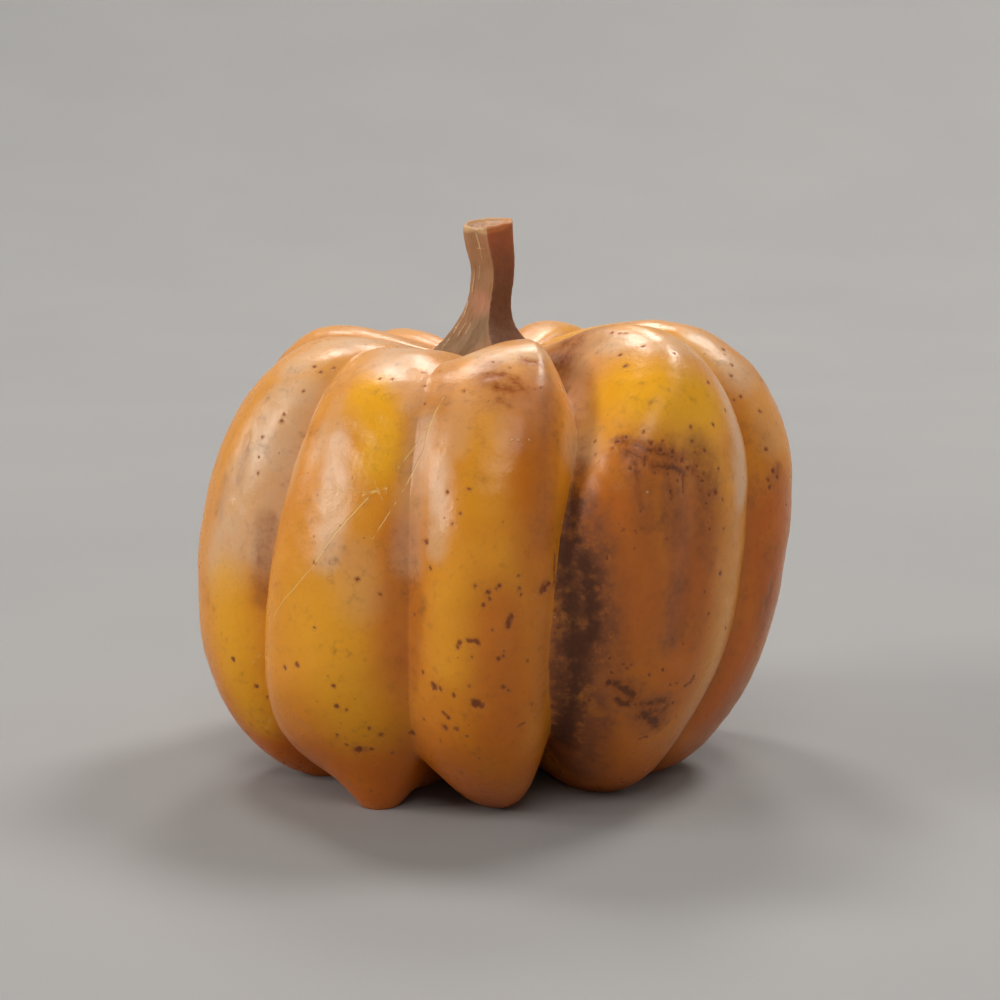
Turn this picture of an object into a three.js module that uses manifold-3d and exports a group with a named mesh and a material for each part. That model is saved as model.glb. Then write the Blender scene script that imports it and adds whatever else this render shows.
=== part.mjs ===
// A ripe pumpkin with ten uneven lobes and a dried, ridged stem.
// Millimetres, +Z up, standing on the floor at z = 0 with the middle of its outline over the origin.
// The front faces -Y. An azimuth is in degrees from the front, counted round towards +X.
import * as THREE from "three";
import { mergeVertices } from "three/addons/utils/BufferGeometryUtils.js";
import Module from "manifold-3d";

const wasm = await Module();
wasm.setup();

// The fruit's surface runs in meridians from the stem's seat down to the scar under it
const SEAT_HEIGHT = 171; // bottom of the hollow that the stem stands in
const SCAR_HEIGHT = 9; // middle of the underside, where the flower was
const CREST_SHARE = 0.16; // share of a meridian from the seat to its highest place
const WIDEST_SHARE = 0.5; // share from the seat to its widest place
const FOOT_SHARE = 0.84; // share from the seat to its lowest place
const LOBE_COLUMNS = 14;
const COLUMN_CROWDING = 0.6; // how much closer together the columns are towards the grooves
const SEAT_ROWS = 4;
const UPPER_ROWS = 8;
const LOWER_ROWS = 8;
const UNDER_ROWS = 4;

// The grooves fade out over these shares beside the seat and the scar
const SEAT_FADE = [0.02, 0.08];
const SCAR_FADE = [0.9, 0.98];

// Swell of a lobe between its two grooves
const SWELL_POWER = 2.1;
const SWELL_ROOT = 0.58;
const CRISP = [0.12, 0.12, 0.12]; // how rounded a groove is at the top, the widest place and the foot

// A knob on the foot of the front left lobe, which reaches down to the floor
const KNOB = { x: -46, y: -72, drop: 14, spread: 9.5, shares: [0.55, 0.65] };

// How far the whole fruit is moved to bring the middle of its outline over the origin
const SHIFT = { x: 0.3, y: -1.3 };

// One meridian: its azimuth at the top, the widest place and the foot, then the radius and height
// of its crest, its widest place and its foot, how square its upper and lower bends are, and how
// rounded a groove is on the lobe before it and on the lobe after it.
function meridian(azimuth, crest, widest, foot, upper = 2.2, lower = 2.2, before = CRISP, after = before) {
  return { azimuth, crest, widest, foot, upper, lower, before, after };
}

// Grooves in order round the fruit, from the one on the left of the front lobe
const GROOVES = [
  meridian([-19, -17.5, -19.5], [54, 176], [108, 93], [83, 23], 2.4, 2.2, [1, 0.6, 0.12]),
  meridian([26, 11.5, 17], [33, 167], [110.5, 87], [52, 25], 2.5, 2.2, [0.8, 0.2, 0.12], [0.8, 0.8, 0.3]),
  meridian([65, 66.5, 53.5], [49, 177], [110, 112], [59, 9], 2.2, 2.2, [0.12, 0.16, 0.5]),
  meridian([103, 102, 102], [44, 180], [108, 90], [50, 14]),
  meridian([140, 139, 139], [44, 177.5], [108, 90], [50, 14]),
  meridian([171.5, 173, 174], [44, 176], [108, 90], [50, 14]),
  meridian([209, 204.5, 206], [46, 172], [108, 90], [50, 14]),
  meridian([233, 230.5, 232], [44, 170], [108, 90], [50, 14]),
  meridian([259.5, 264.5, 262], [46, 175], [112, 92], [50, 14]),
  meridian([305.5, 302.5, 293.5], [56, 179], [102.5, 70], [62, 2]),
];

// The crest line of each lobe, in the same order; a foot below zero is a flat pad on the floor
const LOBES = [
  meridian([13, -3, 2.5], [57, 184.5], [120.5, 89], [56, -3], 2.1, 2.1),
  meridian([47.5, 34.5, 46], [71, 190], [121.5, 124], [55, -3], 2.3, 2.05),
  meridian([84, 82.5, 78.5], [66, 188], [124, 120], [57, -2.5], 2.05, 2.05),
  meridian([119.5, 120, 120], [70, 184.5], [124.5, 93], [62, -3], 2.5, 2.2),
  meridian([158, 156, 156], [58, 183.5], [124, 91.5], [62, -0.5], 2.1, 2.2),
  meridian([189, 189, 189], [62, 174.5], [124, 92], [62, -3.5]),
  meridian([218, 216, 220], [63, 180.5], [121.5, 88], [62, -2], 2.05, 2.2),
  meridian([245, 244, 249], [75.5, 183.5], [120.5, 93.5], [62, -3], 2.05, 2.2),
  meridian([278, 279, 287], [64, 181.5], [125, 75], [65, -3.5], 2.05, 2.05),
  meridian([326, 317, 320], [56, 179.5], [120, 60.5], [41, -2], 2.05, 2.05),
];

// The stem's cross-sections from the seat to the cut end: height, middle and mean radius
const STEM_SECTIONS = [
  { z: 166, x: -6.5, r: 25 },
  { z: 172, x: -6.3, r: 23.5 },
  { z: 176, x: -6, r: 20 },
  { z: 180, x: -5.6, r: 16 },
  { z: 185.5, x: -5.2, r: 12 },
  { z: 192, x: -3.8, r: 9.3 },
  { z: 198, x: -2.5, r: 8.5 },
  { z: 204, x: -1.5, r: 8.6 },
  { z: 210, x: -1.1, r: 8.7 },
  { z: 217.5, x: -2, r: 9.5 },
  { z: 223.5, x: -2.8, r: 10.1 },
  { z: 227.2, x: -2.9, r: 10.2 },
];
const STEM_COLUMNS = 40;
const STEM_RIBS = 5;
const RIB_SHARE = { top: 0.06, base: 0.2 }; // rib height as a share of the radius
const RIB_TWIST = 20; // degrees that the ribs turn from the base to the cut end
const RIB_START = 17; // azimuth of the first rib at the base
const HOLLOW_POWER = 0.8; // under 1 gives sharp ribs with hollow faces between them
const CUT_SLOPE = 0.22; // fall of the cut end for each millimetre towards its lowest side
const CUT_AZIMUTH = -32; // azimuth of that side
const CUT_FADE = 4; // how fast that slope dies out below the cut
const CUT_DISH = 1.2; // depth of the hollow in the cut end
const SEAT_GAP = 0.3; // clearance between the stem and the fruit

const radians = THREE.MathUtils.degToRad;

// The azimuth of a meridian: it leaves the top and reaches the foot without a bend
function azimuthAt({ azimuth: [top, middle, bottom] }, share) {
  const along = THREE.MathUtils.clamp((share - CREST_SHARE) / (FOOT_SHARE - CREST_SHARE), 0, 1);
  const s = -Math.cos(Math.PI * along);
  return middle + ((bottom - top) / 2) * s + ((top + bottom) / 2 - middle) * s * s;
}

// The radius and height of a meridian at a share of its length
function profileAt({ crest, widest, foot, upper, lower }, share) {
  if (share < CREST_SHARE) {
    const q = share / CREST_SHARE;
    const rise = (1 - Math.cos(Math.PI * q)) / 2;
    return [crest[0] * q, SEAT_HEIGHT + (crest[1] - SEAT_HEIGHT) * rise];
  }
  if (share < WIDEST_SHARE) {
    const w = ((share - CREST_SHARE) / (WIDEST_SHARE - CREST_SHARE)) * (Math.PI / 2);
    const out = Math.sin(w) ** (2 / upper);
    const up = Math.cos(w) ** (2 / upper);
    return [crest[0] + (widest[0] - crest[0]) * out, widest[1] + (crest[1] - widest[1]) * up];
  }
  if (share < FOOT_SHARE) {
    const w = ((share - WIDEST_SHARE) / (FOOT_SHARE - WIDEST_SHARE)) * (Math.PI / 2);
    const out = Math.cos(w) ** (2 / lower);
    const down = Math.sin(w) ** (2 / lower);
    return [foot[0] + (widest[0] - foot[0]) * out, widest[1] + (foot[1] - widest[1]) * down];
  }
  const q = (share - FOOT_SHARE) / (1 - FOOT_SHARE);
  const rise = q * q * (3 - 2 * q);
  return [foot[0] * (1 - q), foot[1] + (SCAR_HEIGHT - foot[1]) * rise];
}

// How rounded a groove is at a share of its length
function roundingAt([top, middle, bottom], share) {
  const { lerp, smoothstep } = THREE.MathUtils;
  const above = lerp(top, middle, smoothstep(share, CREST_SHARE, WIDEST_SHARE));
  return lerp(above, bottom, smoothstep(share, WIDEST_SHARE, FOOT_SHARE));
}

// How far the surface has swelled from the groove to the crest, across is 0 on the crest and 1 or
// -1 in a groove
function swell(across, rounding) {
  const u = 1 - Math.abs(across);
  const rounded = Math.hypot(u, rounding) - rounding;
  const share = rounded / (Math.hypot(1, rounding) - rounding);
  return (1 - (1 - share) ** SWELL_POWER) ** SWELL_ROOT;
}

// A point of the fruit's surface on one lobe
function fruitPoint(index, across, share) {
  const lobe = LOBES[index];
  const groove = GROOVES[across < 0 ? index : (index + 1) % GROOVES.length];
  const [grooveRadius, grooveHeight] = profileAt(groove, share);
  const [crestRadius, crestHeight] = profileAt(lobe, share);
  const { smoothstep } = THREE.MathUtils;
  const creased = smoothstep(share, ...SEAT_FADE) * (1 - smoothstep(share, ...SCAR_FADE));
  const rounding = roundingAt(across < 0 ? groove.after : groove.before, share);
  const m = 1 - (1 - swell(across, rounding)) * creased;
  const radius = grooveRadius + (crestRadius - grooveRadius) * m;
  let height = grooveHeight + (crestHeight - grooveHeight) * m;
  const crestAzimuth = azimuthAt(lobe, share);
  const turn = THREE.MathUtils.euclideanModulo(azimuthAt(groove, share) - crestAzimuth + 180, 360) - 180;
  const azimuth = radians(crestAzimuth + turn * Math.abs(across));
  const x = radius * Math.sin(azimuth);
  const y = -radius * Math.cos(azimuth);
  const squaredDistance = (x - KNOB.x) ** 2 + (y - KNOB.y) ** 2;
  const drop = KNOB.drop * Math.exp(-squaredDistance / (2 * KNOB.spread ** 2));
  height -= drop * smoothstep(share, ...KNOB.shares);
  return [x + SHIFT.x, y + SHIFT.y, Math.max(height, 0)];
}

// A closed geometry from rings of points listed downwards, with one point at each pole. Each ring
// runs anticlockwise seen from above.
function closedRings(top, rings, bottom) {
  const columns = rings[0].length;
  const positions = [top, ...rings.flat(), bottom].flat();
  const last = 1 + rings.length * columns;
  const index = [];
  for (let c = 0; c < columns; c++) {
    const next = (c + 1) % columns;
    index.push(0, 1 + c, 1 + next);
    for (let r = 0; r + 1 < rings.length; r++) {
      const upper = 1 + r * columns;
      const lower = upper + columns;
      index.push(upper + c, lower + c, lower + next);
      index.push(upper + c, lower + next, upper + next);
    }
    const rim = last - columns;
    index.push(last, rim + next, rim + c);
  }
  const geometry = new THREE.BufferGeometry();
  geometry.setAttribute("position", new THREE.Float32BufferAttribute(positions, 3));
  geometry.setIndex(index);
  return geometry;
}

// Shares of the meridians at which the fruit has a row of points, evenly spaced in each stretch
function fruitRows() {
  const stretches = [
    [0, CREST_SHARE, SEAT_ROWS],
    [CREST_SHARE, WIDEST_SHARE, UPPER_ROWS],
    [WIDEST_SHARE, FOOT_SHARE, LOWER_ROWS],
    [FOOT_SHARE, 1, UNDER_ROWS],
  ];
  const shares = stretches.flatMap(([from, to, count]) =>
    Array.from({ length: count }, (_, i) => from + ((to - from) * (i + 1)) / count),
  );
  return shares.slice(0, -1);
}

// Columns across a lobe, closer together towards the grooves
function lobeColumns() {
  return Array.from({ length: LOBE_COLUMNS }, (_, i) => {
    const s = (2 * i) / LOBE_COLUMNS - 1;
    return COLUMN_CROWDING * Math.sin((s * Math.PI) / 2) + (1 - COLUMN_CROWDING) * s;
  });
}

function fruitGeometry() {
  const columns = lobeColumns();
  const rings = fruitRows().map((share) =>
    LOBES.flatMap((_, lobe) => columns.map((across) => fruitPoint(lobe, across, share))),
  );
  const top = [SHIFT.x, SHIFT.y, SEAT_HEIGHT];
  const bottom = [SHIFT.x, SHIFT.y, SCAR_HEIGHT];
  return closedRings(top, rings, bottom);
}

// One ring of the stem, with sharp ribs and hollow faces between them; share is 0 at the base
function stemRing(section, share) {
  const ribShare = THREE.MathUtils.lerp(RIB_SHARE.base, RIB_SHARE.top, Math.sqrt(share));
  return Array.from({ length: STEM_COLUMNS }, (_, i) => {
    const angle = (i / STEM_COLUMNS) * 2 * Math.PI;
    const ribAngle = angle - radians(RIB_START - RIB_TWIST * share);
    const hollow = Math.abs(Math.sin((ribAngle * STEM_RIBS) / 2)) ** HOLLOW_POWER;
    const r = section.r * (1 + ribShare * (1 - 2 * hollow));
    const cut = CUT_SLOPE * share ** CUT_FADE * r * Math.cos(angle - radians(CUT_AZIMUTH));
    const x = section.x + SHIFT.x + r * Math.sin(angle);
    return [x, SHIFT.y - r * Math.cos(angle), section.z - cut];
  });
}

function stemGeometry() {
  const last = STEM_SECTIONS.length - 1;
  const rings = STEM_SECTIONS.map((section, i) => stemRing(section, i / last)).reverse();
  const base = STEM_SECTIONS[0];
  const end = STEM_SECTIONS[last];
  const top = [end.x + SHIFT.x, SHIFT.y, end.z - CUT_DISH];
  const bottom = [base.x + SHIFT.x, SHIFT.y, base.z];
  return closedRings(top, rings, bottom);
}

// Solids, for cutting the stem's base to the fruit
function solidFrom(geometry) {
  const bare = geometry.clone();
  bare.deleteAttribute("normal");
  bare.deleteAttribute("uv");
  const merged = mergeVertices(bare, 1e-3);
  const vertProperties = merged.attributes.position.array;
  const triVerts = new Uint32Array(merged.index.array);
  return new wasm.Manifold(new wasm.Mesh({ numProp: 3, vertProperties, triVerts }));
}

function geometryFrom(solid) {
  const mesh = solid.getMesh();
  const geometry = new THREE.BufferGeometry();
  geometry.setAttribute("position", new THREE.BufferAttribute(mesh.vertProperties, 3));
  geometry.setIndex(new THREE.BufferAttribute(mesh.triVerts, 1));
  geometry.computeVertexNormals();
  return geometry;
}

function makeFruit() {
  const geometry = fruitGeometry();
  geometry.computeVertexNormals();
  const rind = new THREE.MeshStandardMaterial({ color: 0xe09a2c, roughness: 0.45, metalness: 0 });
  const fruit = new THREE.Mesh(geometry, rind);
  fruit.name = "fruit";
  return fruit;
}

function makeStem(fruit) {
  const seat = solidFrom(fruit.geometry).translate([0, 0, SEAT_GAP]);
  const geometry = geometryFrom(solidFrom(stemGeometry()).subtract(seat));
  const bark = new THREE.MeshStandardMaterial({ color: 0xa87850, roughness: 0.8, metalness: 0 });
  const stem = new THREE.Mesh(geometry, bark);
  stem.name = "stem";
  return stem;
}

const pumpkin = new THREE.Group();
const fruit = makeFruit();
pumpkin.add(fruit, makeStem(fruit));

export default pumpkin;
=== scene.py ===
"""A ripe pumpkin with uneven lobes, a dried stem and the marks of a fruit grown in a field.

The frame is in metres, +Z up, with the fruit standing on the floor at z = 0 and its front towards -Y.
Shapes are worked out in millimetres and turned into metres when their mesh is made.
An azimuth is in degrees from the front, counted round towards +X.
"""
import math

import bpy
import numpy as np
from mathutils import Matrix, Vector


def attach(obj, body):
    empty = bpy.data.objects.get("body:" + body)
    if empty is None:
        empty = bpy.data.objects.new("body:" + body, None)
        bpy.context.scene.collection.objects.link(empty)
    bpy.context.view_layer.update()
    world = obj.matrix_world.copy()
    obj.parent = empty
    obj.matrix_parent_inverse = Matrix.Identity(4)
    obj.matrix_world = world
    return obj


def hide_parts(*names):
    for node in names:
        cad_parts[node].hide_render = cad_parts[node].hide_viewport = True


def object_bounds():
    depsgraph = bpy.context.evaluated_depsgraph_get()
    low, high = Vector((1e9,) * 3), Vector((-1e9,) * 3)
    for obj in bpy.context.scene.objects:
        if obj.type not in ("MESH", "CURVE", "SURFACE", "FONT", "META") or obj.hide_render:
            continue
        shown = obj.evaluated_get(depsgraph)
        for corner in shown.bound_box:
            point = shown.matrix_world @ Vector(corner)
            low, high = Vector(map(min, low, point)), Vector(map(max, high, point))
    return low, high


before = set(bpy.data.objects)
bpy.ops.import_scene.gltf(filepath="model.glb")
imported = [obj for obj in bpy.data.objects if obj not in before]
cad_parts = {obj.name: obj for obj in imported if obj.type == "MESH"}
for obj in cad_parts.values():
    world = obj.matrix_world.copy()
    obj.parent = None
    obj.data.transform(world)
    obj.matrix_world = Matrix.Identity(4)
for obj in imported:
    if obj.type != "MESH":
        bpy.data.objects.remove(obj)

CAD_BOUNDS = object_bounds()
MM = 0.001

# The photograph's frame and the camera that took it
FRAME_PIXELS = 1000
CAMERA_LENS = 80.0  # millimetres, on a sensor 36 mm wide
SENSOR_WIDTH = 36.0
CAMERA_PITCH = 9.0  # degrees downwards
CAMERA_PLACE = (2.3, -923.8, 258.1)  # millimetres

# The fruit's surface runs in meridians from the stem's seat down to the scar under it
SEAT_HEIGHT = 171.0
SCAR_HEIGHT = 9.0
CREST_SHARE = 0.16
WIDEST_SHARE = 0.5
FOOT_SHARE = 0.84
SEAT_FADE = (0.02, 0.08)  # where the lobes rise from the seat, and where they sink into the scar
SCAR_FADE = (0.9, 0.98)
SWELL_POWER = 2.1
SWELL_ROOT = 0.58
CRISP = (0.12, 0.12, 0.12)  # how rounded a groove is at the top, the widest place and the foot
COLUMN_CROWDING = 0.6
KNOB = {"x": -46, "y": -72, "drop": 14, "spread": 9.5, "shares": (0.55, 0.65)}
SHIFT = (0.3, -1.3)


def meridian(azimuth, crest, widest, foot, upper=2.2, lower=2.2, before=CRISP, after=None):
    """Azimuths at the top, widest place and foot, (radius, height) there, how square the bends are, and how
    rounded a groove is on the lobe before it and on the lobe after it."""
    line = {"azimuth": azimuth, "crest": crest, "widest": widest, "foot": foot}
    return {**line, "upper": upper, "lower": lower, "before": before, "after": after or before}


# Counted round from the front: each lobe lies between the groove of its number and the next
GROOVES = [
    meridian((-19, -17.5, -19.5), (54, 176), (108, 93), (83, 23), 2.4, 2.2, (1, 0.6, 0.12)),
    meridian((26, 11.5, 17), (33, 167), (110.5, 87), (52, 25), 2.5, 2.2, (0.8, 0.2, 0.12), (0.8, 0.8, 0.3)),
    meridian((65, 66.5, 53.5), (49, 177), (110, 112), (59, 9), 2.2, 2.2, (0.12, 0.16, 0.5)),
    meridian((103, 102, 102), (44, 180), (108, 90), (50, 14)),
    meridian((140, 139, 139), (44, 177.5), (108, 90), (50, 14)),
    meridian((171.5, 173, 174), (44, 176), (108, 90), (50, 14)),
    meridian((209, 204.5, 206), (46, 172), (108, 90), (50, 14)),
    meridian((233, 230.5, 232), (44, 170), (108, 90), (50, 14)),
    meridian((259.5, 264.5, 262), (46, 175), (112, 92), (50, 14)),
    meridian((305.5, 302.5, 293.5), (56, 179), (102.5, 70), (62, 2)),
]
LOBES = [
    meridian((13, -3, 2.5), (57, 184.5), (120.5, 89), (56, -3), 2.1, 2.1),
    meridian((47.5, 34.5, 46), (71, 190), (121.5, 124), (55, -3), 2.3, 2.05),
    meridian((84, 82.5, 78.5), (66, 188), (124, 120), (57, -2.5), 2.05, 2.05),
    meridian((119.5, 120, 120), (70, 184.5), (124.5, 93), (62, -3), 2.5, 2.2),
    meridian((158, 156, 156), (58, 183.5), (124, 91.5), (62, -0.5), 2.1, 2.2),
    meridian((189, 189, 189), (62, 174.5), (124, 92), (62, -3.5)),
    meridian((218, 216, 220), (63, 180.5), (121.5, 88), (62, -2), 2.05, 2.2),
    meridian((245, 244, 249), (75.5, 183.5), (120.5, 93.5), (62, -3), 2.05, 2.2),
    meridian((278, 279, 287), (64, 181.5), (125, 75), (65, -3.5), 2.05, 2.05),
    meridian((326, 317, 320), (56, 179.5), (120, 60.5), (41, -2), 2.05, 2.05),
]
FRONT_LOBES = (0, 1, 2, 8, 9)  # the lobes that the photograph shows from crest to foot
FRONT_SPACING = 0.95  # millimetres between columns of the fine surface
BACK_SPACING = 1.7
LOBE_BULGE = 1.25  # how much longer the way round a lobe's bulge is than its arc
BOX_MARGIN = 0.02  # how far the rind stays inside the box of the solids
ROWS = {"seat": 30, "upper": 135, "lower": 145, "under": 36}

# How the painted marks are laid on
NEAR_PIXEL = 20  # pixels squared within which a point of the mesh counts as lying at a pixel
NEAR_DEPTH = 6  # millimetres behind the nearest such point that still count as the same surface
HIDDEN_TURN = 0.25  # how far a place has to face away from the camera to count as hidden
OUTSIDE = 3.0  # millimetres beyond a mark's edge at which its field stops falling
SCRATCH_REACH = 2.4
SCRATCH_STEP = 22  # pixels between the points of a scratch's line

# Specks on the rind: their radius in millimetres, and the pixels of the photograph where they show
SPOTS = {
    0.5: [(425, 386), (425, 404)],
    0.6: [
        (392, 380), (424, 373), (440, 372), (259, 456), (257, 474), (535, 388), (543, 388), (519, 576),
        (493, 630), (472, 657), (505, 651), (467, 736), (532, 704), (480, 758), (594, 455), (709, 521),
        (635, 547), (685, 645),
    ],
    0.7: [
        (380, 379), (314, 628), (333, 367), (303, 390), (261, 436), (494, 363), (511, 367), (464, 391),
        (447, 492), (460, 513), (452, 525), (496, 589), (528, 661), (469, 688), (425, 719), (442, 740),
        (619, 333), (626, 332), (570, 396), (594, 441), (668, 539), (625, 529), (636, 529), (734, 400),
        (747, 503),
    ],
    0.8: [
        (315, 564), (380, 596), (413, 614), (346, 710), (393, 754), (337, 736), (372, 792), (320, 371),
        (284, 414), (486, 374), (489, 599), (519, 589), (522, 593), (509, 691), (612, 447), (698, 452),
        (664, 441), (597, 590), (586, 547), (612, 332), (643, 347), (675, 354), (725, 410), (739, 422),
        (693, 441), (718, 469), (702, 476), (722, 501), (713, 518), (724, 528), (606, 555), (706, 591),
        (687, 587), (727, 629), (599, 651), (631, 666), (597, 687), (665, 698), (733, 365), (732, 376),
        (742, 397), (787, 505),
    ],
    0.9: [
        (369, 728), (313, 365), (280, 421), (469, 488), (485, 606), (501, 585), (479, 644), (503, 656),
        (422, 673), (462, 773), (655, 472), (668, 475), (679, 481), (706, 474), (641, 511), (606, 559),
        (620, 355), (644, 432), (693, 428), (714, 425), (706, 451), (709, 505), (710, 615), (613, 635),
        (623, 666), (611, 672), (589, 701), (588, 689), (645, 703), (656, 701), (670, 684), (677, 684),
        (666, 724), (760, 411),
    ],
    1.0: [
        (284, 669), (333, 686), (382, 735), (346, 746), (371, 751), (430, 569), (475, 587), (541, 591),
        (555, 611), (456, 648), (500, 660), (431, 684), (439, 690), (453, 696), (443, 713), (626, 437),
        (631, 468), (700, 465), (708, 382), (705, 480), (711, 531), (649, 675), (662, 670), (636, 705),
        (674, 704), (766, 449),
    ],
    1.1: [
        (359, 579), (336, 707), (549, 583), (460, 643), (505, 688), (449, 717), (457, 730), (617, 441),
        (645, 463), (625, 366), (711, 496), (610, 659), (627, 669), (725, 348), (768, 479), (769, 487),
    ],
    1.2: [(297, 666), (427, 542), (488, 593), (481, 707), (412, 733), (651, 444), (776, 477)],
    1.3: [(413, 733), (445, 727), (673, 452), (690, 469), (722, 575), (772, 471)],
    1.4: [(661, 449), (684, 460), (716, 492)],
    1.6: [(434, 688), (560, 361)],
    1.7: [(359, 751), (545, 587)],
    2.1: [(476, 705)],
}
# Longer dark marks: the line they follow, and half their width in millimetres
STROKES = [
    ([(556, 555), (554, 583)], 0.5),
    ([(511, 616), (508, 628)], 1.2),
    ([(466, 642), (477, 642)], 0.9),
    ([(518, 727), (525, 723)], 0.6),
    ([(686, 476), (685, 492)], 0.8),
    ([(694, 677), (686, 687)], 0.9),
    ([(639, 739), (647, 738)], 0.7),
]
# Ragged brown blots, larger than the strokes
BLOTS = [
    ([(488, 377), (501, 374)], 2.2),
    ([(494, 386), (512, 390)], 2.4),
    ([(513, 378), (522, 388)], 1.8),
    ([(527, 360), (541, 364)], 1.5),
    ([(500, 398), (508, 404)], 1.2),
    ([(620, 441), (636, 444), (648, 450)], 2.2),
    ([(628, 452), (646, 460)], 2.5),
    ([(634, 462), (638, 480)], 2.2),
    ([(638, 480), (642, 508)], 1.6),
    ([(652, 450), (668, 453), (682, 459)], 2.5),
    ([(654, 464), (676, 468), (688, 474)], 2.5),
    ([(668, 476), (672, 500)], 1.6),
    ([(680, 474), (688, 484)], 1.8),
    ([(694, 470), (700, 480)], 1.4),
    ([(610, 683), (624, 689), (632, 696)], 4.0),
    ([(616, 700), (628, 705)], 2.8),
    ([(643, 713), (657, 721)], 5.2),
    ([(640, 705), (666, 701)], 2.8),
    ([(660, 716), (668, 704)], 2.4),
    ([(777, 466), (775, 478)], 1.7),
    ([(772, 584), (767, 600)], 1.9),
    ([(766, 601), (764, 612)], 1.5),
    ([(702, 490), (716, 494)], 1.5),
    ([(541, 590), (549, 584)], 1.6),
    ([(356, 751), (362, 751)], 1.2),
]
# A dark band on the left side of the wide lobe, from its groove outwards
BAND_LOBE = 1
BAND_STAINS = [
    ([(570, 490), (574, 540)], 3.2),
    ([(566, 540), (572, 600), (574, 680)], 5.5),
    ([(584, 560), (590, 600), (590, 640)], 4.2),
    ([(580, 640), (572, 700), (562, 740)], 4.8),
]
BAND_DUSK = [
    ([(570, 470), (578, 520)], 6.0, 0.8),
    ([(574, 520), (590, 590), (592, 660), (582, 720), (570, 760)], 11.5, 1.0),
    ([(566, 560), (566, 740)], 7.0, 1.0),
]
# Soft brown areas, with how strong they are: partly real discoloration, partly painted shade in grooves and
# on flanks turned from the light
BROWN_AND_SHADE_WASHES = [
    ([(602, 490), (606, 560), (602, 640)], 5.0, 0.3),
    ([(652, 530), (658, 600), (652, 650)], 5.0, 0.25),
    ([(702, 570), (694, 640)], 5.0, 0.3),
    ([(488, 370), (500, 384), (517, 390)], 5.5, 0.6),
    ([(508, 400), (522, 430)], 7.0, 0.3),
    ([(538, 366), (548, 384), (552, 440), (548, 530)], 6.0, 0.35),
    ([(644, 460), (674, 466), (692, 480)], 8.0, 0.35),
    ([(640, 480), (644, 520)], 5.0, 0.45),
    ([(674, 490), (684, 560), (676, 640)], 7.0, 0.6),
    ([(700, 450), (708, 500), (704, 560)], 7.0, 0.5),
    ([(684, 510), (684, 590), (650, 650)], 12.0, 0.25),
    ([(625, 500), (632, 560), (625, 620)], 9.0, 0.22),
    ([(246, 440), (238, 480)], 2.5, 0.25),
    ([(225, 480), (217, 516)], 3.0, 0.25),
    ([(267, 520), (262, 600)], 4.0, 0.5),
    ([(417, 600), (413, 640), (412, 690)], 3.0, 0.3),
    ([(446, 372), (438, 410)], 4.0, 0.25),
    ([(612, 690), (650, 715)], 9.0, 0.45),
    ([(768, 560), (764, 620)], 6.0, 0.3),
    ([(705, 745), (745, 690)], 10.0, 0.35),
    ([(762, 440), (776, 480)], 5.0, 0.25),
]
# Where the orange is deeper and redder: partly real colour, partly painted shade on flanks and lower parts
# turned from the light
DEEP_AND_SHADE_WASHES = [
    ([(538, 390), (534, 450), (538, 520), (540, 600), (534, 700)], 8.0, 0.5),
    ([(500, 620), (505, 700), (500, 770)], 12.0, 0.6),
    ([(406, 540), (396, 640), (385, 720), (370, 780)], 8.0, 0.5),
    ([(620, 520), (640, 600), (640, 690), (620, 750)], 16.0, 0.65),
    ([(690, 520), (690, 620), (670, 700)], 14.0, 0.7),
    ([(775, 520), (760, 620), (710, 720)], 15.0, 0.8),
    ([(280, 745), (296, 758)], 8.0, 0.5),
    ([(630, 460), (680, 500)], 10.0, 0.5),
]
# Yellow areas
GOLD = [
    ([(368, 392), (380, 430), (378, 460)], 7.5, 1.0),
    ([(362, 380), (352, 410)], 4.0, 0.5),
    ([(622, 388), (664, 390), (700, 404)], 12.0, 1.0),
    ([(600, 420), (640, 415)], 9.0, 0.4),
    ([(320, 620), (340, 680), (360, 720)], 13.0, 0.5),
    ([(452, 600), (446, 660)], 8.0, 0.35),
    ([(225, 590), (240, 670), (262, 710)], 10.0, 0.8),
    ([(486, 430), (476, 500)], 7.0, 0.3),
]
# Paler skin with a peach bloom, and painted highlights and sheen where the lamps catch the tops, the left
# shoulders and the right edge
BLOOM_AND_SHEEN_WASHES = [
    ([(300, 360), (325, 346), (360, 340)], 10.0, 1.0),
    ([(285, 400), (262, 440), (236, 500), (222, 560)], 11.0, 1.0),
    ([(300, 392), (282, 440), (268, 510), (264, 550)], 9.0, 1.0),
    ([(300, 430), (286, 480)], 6.0, 0.6),
    ([(397, 348), (396, 372)], 9.5, 1.0),
    ([(420, 360), (412, 400)], 6.0, 0.6),
    ([(340, 400), (322, 450)], 5.0, 0.5),
    ([(336, 440), (334, 500), (328, 560)], 5.0, 0.7),
    ([(424, 420), (414, 490), (410, 560)], 5.5, 0.55),
    ([(350, 560), (356, 600)], 8.0, 0.3),
    ([(440, 460), (436, 548)], 4.0, 0.7),
    ([(480, 352), (510, 354), (535, 352)], 7.0, 0.9),
    ([(460, 400), (452, 440)], 6.0, 0.45),
    ([(590, 338), (640, 342), (700, 345)], 7.5, 1.0),
    ([(724, 390), (738, 440), (742, 490)], 6.0, 0.9),
    ([(752, 380), (772, 440)], 6.0, 0.35),
    ([(584, 346), (572, 400), (584, 450)], 7.0, 0.8),
    ([(545, 325), (560, 330)], 7.0, 0.6),
    ([(700, 340), (740, 370)], 9.0, 1.0),
]
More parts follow.
